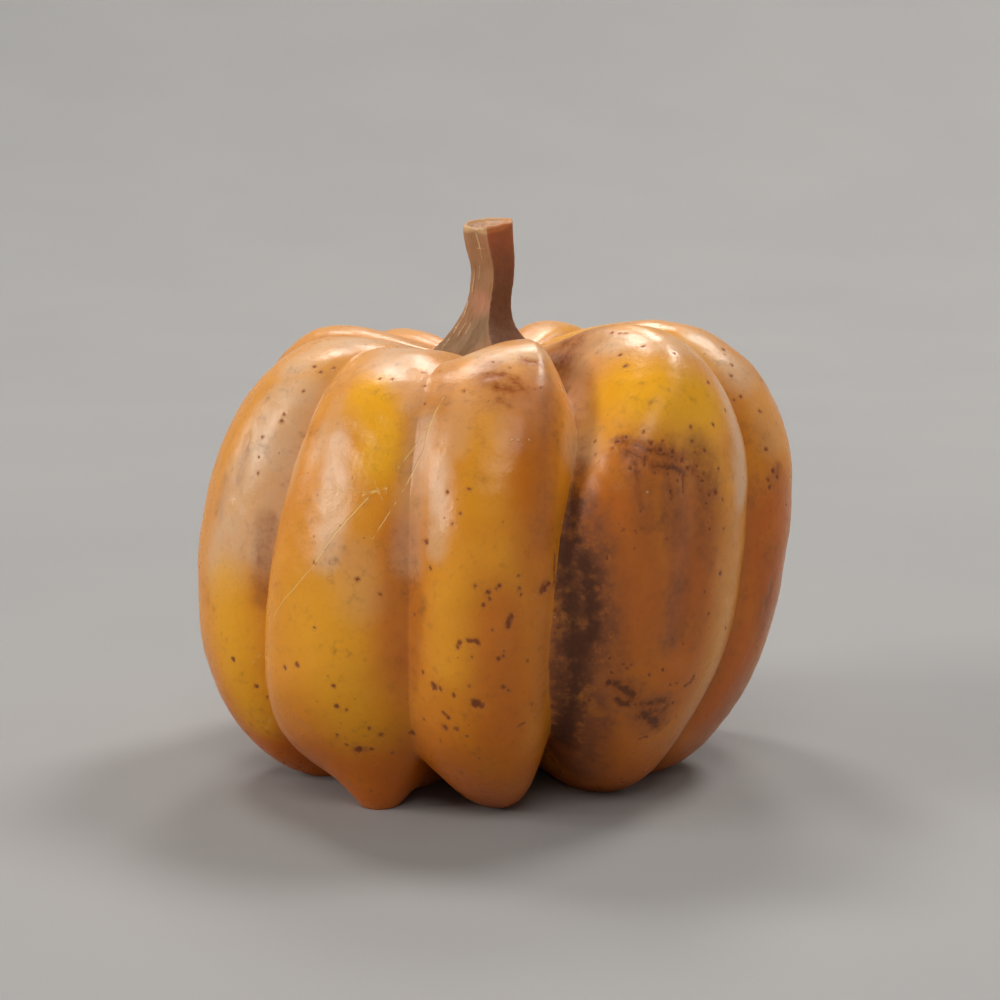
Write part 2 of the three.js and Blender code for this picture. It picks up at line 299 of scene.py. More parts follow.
# Fine pale scratches: their layer, half their width in millimetres, and how clear they are
SCRATCHES = [
    ([(372, 493), (351, 513), (320, 552), (311, 569)], 0, 0.28, 0.9),
    ([(311, 569), (282, 602), (270, 622)], 0, 0.25, 0.6),
    ([(425, 430), (401, 463)], 0, 0.25, 0.7),
    ([(440, 403), (430, 423), (423, 452), (404, 487)], 1, 0.28, 0.9),
    ([(392, 509), (374, 535)], 0, 0.22, 0.7),
    ([(329, 489), (355, 490), (381, 492)], 1, 0.2, 0.45),
    ([(367, 492), (381, 489)], 2, 0.5, 1.0),
    ([(375, 486), (379, 495)], 0, 0.35, 0.9),
    ([(261, 647), (257, 659)], 0, 0.25, 0.6),
    ([(273, 712), (268, 724)], 0, 0.25, 0.6),
    ([(287, 464), (294, 464)], 0, 0.25, 0.5),
    ([(299, 404), (317, 406)], 0, 0.2, 0.4),
    ([(445, 372), (450, 352)], 0, 0.2, 0.3),
    ([(430, 423), (420, 432)], 2, 0.2, 0.5),
]
# Pale scabs, in the same way
SCABS = {
    0.5: [(562, 521), (555, 617)],
    0.6: [(529, 439), (533, 599), (333, 371), (314, 369)],
    0.7: [(511, 440), (524, 441), (537, 597), (627, 370)],
    0.8: [(518, 438), (648, 493), (598, 462), (725, 353)],
    0.9: [(704, 352)],
}
# Shallow valleys pressed into the rind, with half their width and depth in millimetres
FURROWS = [
    ([(694, 460), (699, 520), (692, 570), (680, 640)], 9.0, 1.5),
    ([(246, 438), (241, 460), (233, 496)], 3.0, 0.8),
    ([(224, 480), (215, 516)], 3.0, 0.7),
    ([(258, 350), (246, 376)], 4.0, 0.5),
]

# Painted shade: how dark and brown each groove is, in the order of GROOVES
GROOVE_SHADE_AMOUNTS = (0.3, 0.25, 0.3, 0.45, 0.6, 0.35, 0.6, 0.4, 0.35, 0.12)
GROOVE_EDGE = (0.72, 1.0)  # how far across a lobe the painted shade of its groove begins and is full
GROOVE_SHADE_RISE = (0.05, 0.3)  # where it comes in along the groove, and where it fades
GROOVE_SHADE_FALL = (0.6, 0.9)
GROOVE_SHADE_LOSS = 0.6
# Painted shade and highlight: the foot is painted a deeper, darker orange and the shoulders paler
FOOT_SHADE_AMOUNT = 0.75
FOOT_SHADE_HEIGHTS = (8, 70)  # millimetres between which the painted shade of the foot, a deeper orange, fades out
SHOULDER_SHEEN_AMOUNT = 0.45
SHOULDER_SHEEN_HEIGHTS = (140, 182)  # and between which the painted sheen and bloom of the shoulders comes in

# Marks where the photograph doesn't show the fruit: how many of each kind
HIDDEN_SHARES = (0.12, 0.93)  # the part of a meridian that they lie on
HIDDEN_CLUSTERS = 46
HIDDEN_STAINS = 7
HIDDEN_WASHES = 34
HIDDEN_SCRATCHES = 8

# The rind's finer shape, in millimetres
SCAR_RADIUS = 7.0
RELIEF_LEVEL = -0.25
RIPPLES = ((60, 0.4), (26, 0.16), (9, 0.05))  # wavelength and height
RIND_FIBRES = ((67, 0.4), (113, 2.1), (171, 4.0), (229, 1.2))  # how many go round the fruit, and their phase
RIND_FIBRE_HEIGHT = 0.005
MARK_DEPTHS = {"speck": (0.2, -0.6, 1.2), "stain": (0.15, -1.5, 2.5), "blot": (0.08, -0.8, 1.2)}
RELIEF_RISE = (0.04, 0.2)  # where it comes in below the stem, and where it fades out under the fruit
RELIEF_FALL = (0.8, 0.93)
SCAR_RING_HEIGHT = 0.9
SCAR_RING_WIDTH = 1.4
SCAR_PIT_SHARE = 0.8  # depth of the pit inside the ring, for each millimetre of the ring's height
SCAR_PIT_RADIUS = 4
SCAR_EDGE = 4

# The flat map of the fruit: gores in two rows of five
GORE_COLUMNS = 5
GORE_ROWS = 2
GORE_FILL = 0.96  # the part of the height of its cell that a gore fills
GORE_MARGIN = 2.5
GORE_STRETCH = 0.00175  # map units for each millimetre round the fruit
GRAIN_ROUND = 0.12  # how fast the streaks of the rind change round the fruit and along its lobes
GRAIN_ALONG = 0.16

# The stem: height, place across and radius of each section, in millimetres
STEM_SECTIONS = np.array([
    (166, -6.5, 25), (172, -6.3, 23.5), (176, -6, 20), (180, -5.6, 16), (185.5, -5.2, 12),
    (192, -3.8, 9.3), (198, -2.5, 8.5), (204, -1.5, 8.6), (210, -1.1, 8.7), (217.5, -2, 9.5),
    (223.5, -2.8, 10.1), (227.2, -2.9, 10.2),
])
STEM_ROWS = 210
STEM_COLUMNS = 280
STEM_RIBS = 5
RIB_DEPTHS = np.array([(0, 0.2), (0.3, 0.15), (0.5, 0.115), (0.8, 0.09), (0.93, 0.055), (1, 0.035)])
RIB_START = 17  # azimuth of the first rib at the base, in degrees
RIB_TWIST = 20  # degrees that the ribs turn from the base to the cut
FOLD_SHARES = (0.08, 0.2, 0.32, 0.42)  # a fold on the foot rises and dies out over these
FOLD_AZIMUTHS = (-34, -8)  # its place at the first and the last of them
FOLD_WIDTH = 9
FOLD_DEPTH = 0.1
HOLLOW_POWER = 0.85
CUT_SLOPE = 0.22  # fall of the cut for each millimetre out
CUT_AZIMUTH = -32  # the side to which it falls
CUT_FADE = 4  # how fast the slope fades below the cut
CUT_DISH = 1.2
CUT_RINGS = 26
CUT_REACH = (0.25, 0.97)  # the cut's rings run between these shares of the way to the middle
# How red-brown each face between two ribs is, from the one right of the front rib: partly real colour, partly
# painted shade on the faces turned from the light
FACET_RUDDY_AND_SHADE = (1.0, 0.55, 0.2, 0.35, 0.0)
STEM_ROSE = [
    ([(481, 300), (482, 312)], 3.0, 1.0),
    ([(486, 240), (496, 240)], 2.5, 0.6),
]
STEM_OLIVE = [
    ([(484, 325), (476, 336), (466, 345)], 4.5, 1.0),
    ([(455, 342), (446, 348)], 4.0, 0.7),
    ([(478, 262), (480, 280)], 3.0, 0.3),
]
# Pale fibres that stand out of the stem, and half their width in millimetres
STEM_FIBRES = [
    ([(476, 233), (480, 247), (483, 262)], 0.28),
    ([(478, 248), (485, 249)], 0.14),
    ([(480, 266), (479, 279)], 0.14),
    ([(475, 272), (472, 292)], 0.12),
    ([(468, 302), (464, 316), (456, 328)], 0.2),
    ([(463, 318), (451, 337), (441, 350)], 0.16),
    ([(468, 320), (458, 336)], 0.14),
    ([(455, 331), (447, 343)], 0.14),
    ([(471, 323), (466, 334)], 0.12),
]
CUT_NOTCHES = ((-7.2, 0.3), (-5.0, 0.5))  # where a notch crosses the cut, and its depth
NOTCH_WIDTH = 0.9
CUT_MARGIN = 0.05  # how far the lip stays below the top of the solids
# The lip from the rim inwards: the share of the way to the middle, and how far it rises in millimetres
LIP_SHAPE = ((0.015, 0.35), (0.035, 0.65), (0.065, 0.9), (0.1, 0.95), (0.14, 0.75), (0.17, 0.4), (0.2, 0.05))
STEM_RIPPLES = ((2.2, 0.15, 0.05), (9, 0.3, 0.12))  # wavelength, share of their height that counts, and size
STEM_LINES = ((31, 3.0), (47, -4.0), (73, 5.0))  # how many go round the stem, and how far they twist
STEM_GRAIN_ROUND = 0.01
STEM_GRAIN_ALONG = 0.12
STEM_LINE_HEIGHT = 0.025
STEM_FIBRE_HEIGHT = 0.18

# The studio
FLOOR_SIDES = 96
FLOOR_RADII = (300.0, 800.0, *np.linspace(1500, 5500, 17))
FLOOR_FLAT = 1500.0  # millimetres out to which the floor is level
FLOOR_RISE = 9000.0
LIGHT_COLOUR = (1.0, 0.96, 0.92)
WORLD_STRENGTH = 0.08
# Each light's azimuth, elevation and width as seen from the fruit in degrees, and its strength
LIGHTS = {
    "key_light_5": (-60, 5, 13, 1.45),
    "key_light_19": (-69, 19, 13, 1.1),
    "key_light_32": (-80, 32, 13, 0.6),
    "left_light": (-108, 4, 40, 2.3),
    "upper_left_light": (-150, 55, 13, 0.85),
    "front_light": (0, 50, 30, 0.8),
    "right_light": (78, 44, 40, 0.15),
    "rim_light_low": (156, 8, 16, 0.25),
    "rim_light_high": (129, 55, 16, 1.3),
    "top_light": (176, 45, 14, 0.7),
}

rng = np.random.default_rng(7)


def smoothstep(value, low, high):
    q = np.clip((value - low) / (high - low), 0, 1)
    return q * q * (3 - 2 * q)


def azimuth_at(line, share):
    top, middle, bottom = line["azimuth"]
    along = np.clip((share - CREST_SHARE) / (FOOT_SHARE - CREST_SHARE), 0, 1)
    s = -np.cos(np.pi * along)
    return middle + (bottom - top) / 2 * s + ((top + bottom) / 2 - middle) * s * s


def profile_at(line, share):
    """Radius and height of a meridian at shares of its length."""
    (crest_r, crest_z), (wide_r, wide_z), (foot_r, foot_z) = line["crest"], line["widest"], line["foot"]
    quarter = np.pi / 2
    seat = np.clip(share / CREST_SHARE, 0, 1)
    upper = np.clip((share - CREST_SHARE) / (WIDEST_SHARE - CREST_SHARE), 0, 1) * quarter
    lower = np.clip((share - WIDEST_SHARE) / (FOOT_SHARE - WIDEST_SHARE), 0, 1) * quarter
    under = np.clip((share - FOOT_SHARE) / (1 - FOOT_SHARE), 0, 1)
    up_power, low_power = 2 / line["upper"], 2 / line["lower"]
    which = np.digitize(share, (CREST_SHARE, WIDEST_SHARE, FOOT_SHARE))
    radius = np.choose(which, [
        crest_r * seat,
        crest_r + (wide_r - crest_r) * np.sin(upper) ** up_power,
        foot_r + (wide_r - foot_r) * np.abs(np.cos(lower)) ** low_power,
        foot_r * (1 - under),
    ])
    height = np.choose(which, [
        SEAT_HEIGHT + (crest_z - SEAT_HEIGHT) * (1 - np.cos(np.pi * seat)) / 2,
        wide_z + (crest_z - wide_z) * np.abs(np.cos(upper)) ** up_power,
        wide_z + (foot_z - wide_z) * np.sin(lower) ** low_power,
        foot_z + (SCAR_HEIGHT - foot_z) * under * under * (3 - 2 * under),
    ])
    return radius, height


def rounding_at(rounding, share):
    top, middle, bottom = rounding
    upper = top + (middle - top) * smoothstep(share, CREST_SHARE, WIDEST_SHARE)
    return upper + (bottom - upper) * smoothstep(share, WIDEST_SHARE, FOOT_SHARE)


def swell(across, rounding):
    u = 1 - np.abs(across)
    rounded = np.hypot(u, rounding) - rounding
    share = rounded / (np.hypot(1, rounding) - rounding)
    return (1 - (1 - share) ** SWELL_POWER) ** SWELL_ROOT


def lobe_points(index, across, share):
    """Points of one lobe, in rows of share and columns of across, in millimetres."""
    lobe = LOBES[index]
    left, right = GROOVES[index], GROOVES[(index + 1) % len(GROOVES)]
    creased = smoothstep(share, *SEAT_FADE) * (1 - smoothstep(share, *SCAR_FADE))
    on_left = (across < 0)[None, :]
    on_each = (rounding_at(left["after"], share), rounding_at(right["before"], share))
    rounding = np.where(on_left, *(side[:, None] for side in on_each))
    m = 1 - (1 - swell(across[None, :], rounding)) * creased[:, None]
    crest_r, crest_z = profile_at(lobe, share)
    crest_azimuth = azimuth_at(lobe, share)
    sides = []
    for groove in (left, right):
        r, z = profile_at(groove, share)
        turn = (azimuth_at(groove, share) - crest_azimuth + 180) % 360 - 180
        sides.append((r[:, None], z[:, None], turn[:, None]))
    groove_r, groove_z, turn = (np.where(on_left, a, b) for a, b in zip(*sides))
    radius = groove_r + (crest_r[:, None] - groove_r) * m
    z = groove_z + (crest_z[:, None] - groove_z) * m
    azimuth = np.radians(crest_azimuth[:, None] + turn * np.abs(across)[None, :])
    x = radius * np.sin(azimuth)
    y = -radius * np.cos(azimuth)
    squared = (x - KNOB["x"]) ** 2 + (y - KNOB["y"]) ** 2
    drop = KNOB["drop"] * np.exp(-squared / (2 * KNOB["spread"] ** 2))
    z = z - drop * smoothstep(share, *KNOB["shares"])[:, None]
    return np.stack([x + SHIFT[0], y + SHIFT[1], z], -1)


def fine_rows():
    edges = (0, CREST_SHARE, WIDEST_SHARE, FOOT_SHARE, 1)
    parts = [np.linspace(a, b, n, endpoint=False) for a, b, n in zip(edges, edges[1:], ROWS.values())]
    return np.concatenate(parts)[1:]


def fine_columns(index):
    left, right = GROOVES[index], GROOVES[(index + 1) % len(GROOVES)]
    arc = (right["azimuth"][1] - left["azimuth"][1]) % 360
    length = math.radians(arc) * LOBES[index]["widest"][0] * LOBE_BULGE
    spacing = FRONT_SPACING if index in FRONT_LOBES else BACK_SPACING
    s = np.linspace(-1, 1, round(length / spacing), endpoint=False)
    return COLUMN_CROWDING * np.sin(s * np.pi / 2) + (1 - COLUMN_CROWDING) * s


def whole_grid():
    """Every lobe side by side: points in rows and columns, with each column's place on its lobe."""
    share = fine_rows()
    blocks = [fine_columns(i) for i in range(len(LOBES))]
    points = np.concatenate([lobe_points(i, across, share) for i, across in enumerate(blocks)], axis=1)
    return {
        "points": points,
        "share": share,
        "across": np.concatenate(blocks),
        "lobe": np.repeat(np.arange(len(LOBES)), [len(b) for b in blocks]),
        "counts": [len(b) for b in blocks],
    }


def grid_normals(points):
    """Outward directions of a grid that closes on itself from its last column to its first."""
    down = np.gradient(points, axis=0)
    along = np.roll(points, -1, axis=1) - np.roll(points, 1, axis=1)
    normal = np.cross(down, along)
    return normal / np.maximum(np.linalg.norm(normal, axis=-1, keepdims=True), 1e-9)


# What the camera sees

def project(points):
    """Where points in millimetres fall in the photograph, in pixels, and how far off they are."""
    tilt = math.radians(CAMERA_PITCH)
    away = points - np.array(CAMERA_PLACE)
    depth = away @ np.array([0, math.cos(tilt), -math.sin(tilt)])
    height = away @ np.array([0, math.sin(tilt), math.cos(tilt)])
    focal = CAMERA_LENS / SENSOR_WIDTH * FRAME_PIXELS
    middle = FRAME_PIXELS / 2
    return middle + focal * away[:, 0] / depth, middle - focal * height / depth, depth


class Surface:
    """A piece's points, with the fields that its material reads."""

    def __init__(self, grid, top, bottom):
        self.points = with_poles(grid, top, bottom)
        self.normals = with_poles(grid_normals(grid), (0, 0, 1), (0, 0, -1))
        self.right, self.down, self.depth = project(self.points)
        to_camera = CAMERA_PLACE - self.points
        facing = np.einsum("ij,ij->i", self.normals, to_camera)
        self.seen = facing > 0
        self.hidden = facing < -HIDDEN_TURN * np.linalg.norm(to_camera, axis=1)
        self.fields = {}

    def at(self, pixel):
        """The point of the surface that shows at a pixel of the photograph."""
        off = (self.right - pixel[0]) ** 2 + (self.down - pixel[1]) ** 2
        near = np.flatnonzero(self.seen & (off < NEAR_PIXEL))
        if len(near) == 0:
            near = np.flatnonzero(self.seen)
            return self.points[near[np.argmin(off[near])]]
        near = near[self.depth[near] < self.depth[near].min() + NEAR_DEPTH]
        return self.points[near[np.argmin(off[near])]]

    def trail(self, pixels, step=7):
        """Points of the surface under a line drawn through pixels of the photograph."""
        found = [self.at(pixels[0])]
        for a, b in zip(pixels, pixels[1:]):
            count = max(1, round(math.dist(a, b) / step))
            for k in range(1, count + 1):
                q = k / count
                found.append(self.at((a[0] + (b[0] - a[0]) * q, a[1] + (b[1] - a[1]) * q)))
        return np.array(found)

    def distance(self, trail, reach, within=True):
        """Which points lie near a trail, and how far they are from it."""
        low = trail.min(axis=0) - reach
        high = trail.max(axis=0) + reach
        near = np.flatnonzero(((self.points > low) & (self.points < high)).all(axis=1) & within)
        away = np.full(len(near), 1e9)
        where = self.points[near]
        if len(trail) == 1:
            away = np.linalg.norm(where - trail[0], axis=1)
        for a, b in zip(trail, trail[1:]):
            span = b - a
            q = np.clip((where - a) @ span / max(span @ span, 1e-9), 0, 1)
            away = np.minimum(away, np.linalg.norm(where - a - q[:, None] * span, axis=1))
        return near, away

    def field(self, name, start=0.0):
        if name not in self.fields:
            self.fields[name] = np.full(len(self.points), start)
        return self.fields[name]

    def mark(self, name, trail, radius, within=True):
        """A crisp mark: the field holds how far inside the mark's edge a point is, in millimetres."""
        field = self.field(name, -OUTSIDE)
        near, away = self.distance(trail, radius + OUTSIDE, within)
        field[near] = np.maximum(field[near], np.minimum(radius, OUTSIDE) - away * min(1, OUTSIDE / radius))

    def scratch(self, layer, trail, radius, amount):
        """A fine line: how far a point lies to its side, in line widths, and whether it is in reach."""
        off = self.fields.setdefault("scratch_off", np.full((len(self.points), 3), OUTSIDE))
        on = self.fields.setdefault("scratch_on", np.zeros((len(self.points), 3)))
        near, _ = self.distance(trail, SCRATCH_REACH)
        best = np.full(len(near), 1e9)
        where, normal = self.points[near], self.normals[near]
        for a, b in zip(trail, trail[1:]):
            span = b - a
            length = np.linalg.norm(span)
            along = (where - a) @ span / length
            rest = where - a - np.clip(along, 0, length)[:, None] * span / length
            distance = np.linalg.norm(rest, axis=1)
            side = np.cross(normal, span / length)
            closer = distance < best
            best[closer] = distance[closer]
            off[near[closer], layer] = np.einsum("ij,ij->i", rest, side)[closer] / radius
        ends = np.minimum(*(np.linalg.norm(where - end, axis=1) for end in (trail[0], trail[-1])))
        fade = smoothstep(ends, 0, 3) * (best < SCRATCH_REACH)
        on[near, layer] = np.maximum(on[near, layer], amount * fade)

    def wash(self, name, trail, radius, amount=1.0, within=True):
        """A soft patch, strongest along its trail and gone at twice its radius."""
        field = self.field(name)
        near, away = self.distance(trail, radius * 2, within)
        field[near] = np.maximum(field[near], amount * (1 - smoothstep(away, radius * 0.35, radius * 2)))


def ripple(points, wavelength, count=12):
    """An irregular height from -1 to 1 or so, with bumps about half a wavelength across."""
    direction = rng.normal(size=(count, 3))
    direction /= np.linalg.norm(direction, axis=1, keepdims=True)
    phase = rng.uniform(0, 2 * np.pi, count)
    stretch = rng.uniform(0.7, 1.4, count) * 2 * np.pi / wavelength
    total = np.zeros(len(points))
    for k in range(count):
        total += np.sin(points @ direction[k] * stretch[k] + phase[k])
    return total / math.sqrt(count)


def paint_shade_and_sheen(surface, grid):
    """Painted shade and sheen: every groove is darkened brown, most so halfway down, the foot is painted a
    deeper, darker orange, and the shoulders are painted paler.
    """
    next_groove = (grid["lobe"] + (grid["across"] >= 0)) % len(GROOVES)
    amount = np.array(GROOVE_SHADE_AMOUNTS)[next_groove] * smoothstep(np.abs(grid["across"]), *GROOVE_EDGE)
    down = smoothstep(grid["share"], *GROOVE_SHADE_RISE) * (1 - GROOVE_SHADE_LOSS * smoothstep(grid["share"], *GROOVE_SHADE_FALL))
    surface.field("brown_and_shade")[:-2] = (down[:, None] * amount[None, :]).ravel()
    height = surface.points[:, 2]
    surface.field("deep_orange_and_shade")[:] = FOOT_SHADE_AMOUNT * (1 - smoothstep(height, *FOOT_SHADE_HEIGHTS))
    surface.field("bloom_and_sheen")[:] = SHOULDER_SHEEN_AMOUNT * smoothstep(height, *SHOULDER_SHEEN_HEIGHTS)


def paint_band(surface, grid):
    lobe = np.append(np.tile(grid["lobe"], len(grid["share"])), [-1, -1])
    for line, radius in BAND_STAINS:
        surface.mark("stain", surface.trail(line), radius, lobe == BAND_LOBE)
    for line, radius, amount in BAND_DUSK:
        surface.wash("brown_and_shade", surface.trail(line), radius, amount, lobe == BAND_LOBE)


def paint_photographed_marks(surface):
    for name, groups in (("speck", SPOTS), ("scab", SCABS)):
        for radius, places in groups.items():
            for place in places:
                surface.mark(name, surface.trail([place]), radius)
    for name, lines in (("speck", STROKES), ("blot", BLOTS)):
        for line, radius in lines:
            surface.mark(name, surface.trail(line), radius)
    for line, layer, radius, amount in SCRATCHES:
        surface.scratch(layer, surface.trail(line, SCRATCH_STEP), radius, amount)
    for name, washes in (("brown_and_shade", BROWN_AND_SHADE_WASHES), ("gold", GOLD), ("bloom_and_sheen", BLOOM_AND_SHEEN_WASHES), ("deep_orange_and_shade", DEEP_AND_SHADE_WASHES)):
        for line, radius, amount in washes:
            surface.wash(name, surface.trail(line), radius, amount)


def paint_hidden_marks(surface, grid):
    """Marks of the same kinds where the photograph doesn't show the fruit."""
    share = np.repeat(grid["share"], len(grid["lobe"]))
    first, last = HIDDEN_SHARES
    places = np.flatnonzero(surface.hidden[:-2] & (share > first) & (share < last))

    def nearby(centre, spread, count):
        found = []
        for offset in rng.normal(size=(count, 3)) * spread:
            near = np.flatnonzero(np.abs(surface.points[:, 2] - centre[2] - offset[2]) < 3)
            if len(near):
                off = np.linalg.norm(surface.points[near] - centre - offset, axis=1)
                found.append(surface.points[near[np.argmin(off)]])
        return found

    for _ in range(HIDDEN_CLUSTERS):
        centre = surface.points[rng.choice(places)]
        for spot in nearby(centre, rng.uniform(5, 16), int(rng.integers(3, 9))):
            surface.mark("speck", spot[None, :], rng.uniform(0.4, 1.0) + rng.exponential(0.2))
    for _ in range(HIDDEN_STAINS):
        centre = surface.points[rng.choice(places)]
        patch = nearby(centre, 6, 3)
        surface.mark(("stain", "blot")[int(rng.integers(2))], np.array(patch), rng.uniform(1.2, 2.6))
        surface.wash("brown_and_shade", centre[None, :], rng.uniform(10, 18), rng.uniform(0.3, 0.6))
    for _ in range(HIDDEN_WASHES):
        name = ("gold", "bloom_and_sheen", "brown_and_shade", "deep_orange_and_shade")[int(rng.integers(4))]
        centre = surface.points[rng.choice(places)]
        amount = rng.uniform(0.25, 0.7)
        surface.wash(name, np.array([centre, *nearby(centre, 12, 2)]), rng.uniform(9, 17), amount)
    for _ in range(HIDDEN_SCRATCHES):
        start = surface.points[rng.choice(places)]
        surface.scratch(int(rng.integers(3)), np.array([start, *nearby(start, 9, 1)]), 0.25, 0.7)


def fruit_relief(surface, grid):
    """Height of the rind's finer shape above the smooth lobes, in millimetres."""
    points = surface.points
    share = np.append(np.repeat(grid["share"], len(grid["lobe"])), [0, 1])
    relief = np.full(len(points), RELIEF_LEVEL)
    for wavelength, height in RIPPLES:
        relief += height * ripple(points, wavelength)
    azimuth = np.arctan2(points[:, 0], -points[:, 1])
    relief += RIND_FIBRE_HEIGHT * sum(np.sin(azimuth * n + phase) for n, phase in RIND_FIBRES)
    for line, radius, depth in FURROWS:
        near, away = surface.distance(surface.trail(line), radius * 2.2)
        relief[near] -= depth * np.exp(-((away / radius) ** 2) * 1.6)
    for name, (depth, low, high) in MARK_DEPTHS.items():
        relief -= depth * smoothstep(surface.field(name, -OUTSIDE), low, high)
    relief *= smoothstep(share, *RELIEF_RISE) * (1 - smoothstep(share, *RELIEF_FALL))

    from_scar = np.hypot(points[:, 0] - SHIFT[0], points[:, 1] - SHIFT[1])
    under = share > SCAR_FADE[0]
    ring = np.exp(-(((from_scar - SCAR_RADIUS) / SCAR_RING_WIDTH) ** 2))
    ring -= SCAR_PIT_SHARE * np.exp(-((from_scar / SCAR_PIT_RADIUS) ** 2))
    relief[under] += SCAR_RING_HEIGHT * ring[under]
    surface.field("scar")[under] = 1 - smoothstep(from_scar[under], SCAR_RADIUS, SCAR_RADIUS + SCAR_EDGE)
    return relief


def with_poles(grid, top, bottom):
    """The points of a grid row by row, then the two that close its ends."""
    return np.vstack([grid.reshape(-1, 3), top, bottom])


def closed_faces(rows, columns):
    """Quads of a grid that closes on itself, and the fans that close its two ends."""
    column = np.arange(columns)
    following = (column + 1) % columns
    row = np.arange(rows - 1)[:, None] * columns
    corners = (row + column, row + columns + column, row + columns + following, row + following)
    quads = np.stack(corners, -1).reshape(-1, 4)
    top, bottom, last = rows * columns, rows * columns + 1, (rows - 1) * columns
    first_fan = np.stack([np.full(columns, top), column, following], -1)
    last_fan = np.stack([last + column, np.full(columns, bottom), last + following], -1)
    return quads, np.concatenate([first_fan, last_fan])


def gore_layout(grid):
    """A flat map of the fruit's corners: one gore for each lobe, near its true proportions."""
    points = grid["points"]
    rows, columns = points.shape[:2]
    start = 0
    quads = np.zeros((rows - 1, columns, 4, 2))
    fans = np.zeros((2, columns, 3, 2))
    for index, count in enumerate(grid["counts"]):
        ids = np.arange(start, start + count + 1) % columns
        gore = points[:, ids]
        steps = np.linalg.norm(np.diff(gore, axis=1), axis=-1)
        width = np.concatenate([np.zeros((rows, 1)), np.cumsum(steps, axis=1)], axis=1)
        u = width - width[:, -1:] / 2
        middle = gore[:, count // 2]
        fall = np.concatenate([[0], np.cumsum(np.linalg.norm(np.diff(middle, axis=0), axis=1))]) + GORE_MARGIN
        length = fall[-1] + GORE_MARGIN
        row, column = divmod(index, GORE_COLUMNS)
        cell = np.array([(column + 0.5) / GORE_COLUMNS, (row + 0.5) / GORE_ROWS])
        scale = np.array([GORE_STRETCH, -GORE_FILL / GORE_ROWS / length])
        flat = np.stack([u, np.repeat((fall - length / 2)[:, None], count + 1, axis=1)], -1) * scale + cell
        part = slice(start, start + count)
        corners = (flat[:-1, :-1], flat[1:, :-1], flat[1:, 1:], flat[:-1, 1:])
        quads[:, part] = np.stack(corners, -2)
        ends = (cell - scale * (0, length / 2), cell + scale * (0, length / 2))
        first, last = (np.broadcast_to(end, (count, 2)) for end in ends)
        fans[0, part] = np.stack((first, flat[0, :-1], flat[0, 1:]), -2)
        fans[1, part] = np.stack((flat[-1, :-1], last, flat[-1, 1:]), -2)
        start += count
    return np.concatenate([quads.reshape(-1, 2), fans.reshape(-1, 2)])


def make_piece(name, points, quads, triangles, fields, material, flat=None):
    """One smooth closed mesh from points in millimetres, with its fields as attributes."""
    mesh = bpy.data.meshes.new(name)
    corners = np.concatenate([quads.ravel(), triangles.ravel()]).astype(np.int32)
    sizes = np.concatenate([np.full(len(quads), 4), np.full(len(triangles), 3)])
    mesh.vertices.add(len(points))
    mesh.vertices.foreach_set("co", (points * MM).astype(np.float32).ravel())
    mesh.loops.add(len(corners))
    mesh.loops.foreach_set("vertex_index", corners)
    mesh.polygons.add(len(sizes))
    mesh.polygons.foreach_set("loop_start", np.concatenate([[0], np.cumsum(sizes)[:-1]]).astype(np.int32))
    mesh.update(calc_edges=True)
    mesh.polygons.foreach_set("use_smooth", np.ones(len(sizes), dtype=bool))
    for key, values in fields.items():
        kind, number = ("FLOAT_VECTOR", "vector") if values.ndim == 2 else ("FLOAT", "value")
        attribute = mesh.attributes.new(key, kind, "POINT")
        attribute.data.foreach_set(number, values.astype(np.float32).ravel())
    if flat is not None:
        layer = mesh.uv_layers.new(name="OFBake")
        layer.data.foreach_set("uv", flat.astype(np.float32).ravel())
    mesh.validate()
    piece = bpy.data.objects.new(name, mesh)
    bpy.context.scene.collection.objects.link(piece)
    mesh.materials.append(material)
    return piece


def make_fruit():
    grid = whole_grid()
    points = grid["points"]
    surface = Surface(points, (*SHIFT, SEAT_HEIGHT), (*SHIFT, SCAR_HEIGHT))
    paint_shade_and_sheen(surface, grid)
    paint_band(surface, grid)
    paint_photographed_marks(surface)
    paint_hidden_marks(surface, grid)
    relief = fruit_relief(surface, grid)
    shaped = surface.points + surface.normals * relief[:, None]
    low, high = (np.array(corner) / MM for corner in CAD_BOUNDS)
    shaped = np.clip(shaped, low + (BOX_MARGIN, BOX_MARGIN, 0), high - BOX_MARGIN)
    azimuth = np.arctan2(points[..., 0], -points[..., 1])
    fall = np.concatenate([[0], np.cumsum(np.linalg.norm(np.diff(points, axis=0), axis=-1).mean(axis=1))])
    drift = np.broadcast_to((fall * MM * GRAIN_ALONG)[:, None], azimuth.shape)
    grain = np.stack([GRAIN_ROUND * np.sin(azimuth), -GRAIN_ROUND * np.cos(azimuth), drift], -1)
    surface.fields["grain"] = with_poles(grain, (0, 0, 0), (0, 0, GRAIN_ALONG * MM * fall[-1]))
    quads, fans = closed_faces(*points.shape[:2])
    flat = gore_layout(grid)
    piece = make_piece("pumpkin_fruit", shaped, quads, fans, surface.fields, rind_material(), flat)
    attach(piece, "root")
    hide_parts("fruit")
    return piece


# The stem

def through(places, known, values):
    """A smooth curve through known values."""
    slopes = np.gradient(values, known)
    k = np.clip(np.searchsorted(known, places) - 1, 0, len(known) - 2)
    span = known[k + 1] - known[k]
    q = (places - known[k]) / span
    start = (2 * q**3 - 3 * q**2 + 1) * values[k] + (q**3 - 2 * q**2 + q) * span * slopes[k]
    return start + (3 * q**2 - 2 * q**3) * values[k + 1] + (q**3 - q**2) * span * slopes[k + 1]


def rib_angles(angle, share):
    """Angle past the ribs: 0 on the first rib, with a full turn from each rib to the next."""
    start = np.radians(RIB_START - RIB_TWIST * share)
    return (angle[None, :] - start[:, None]) * STEM_RIBS


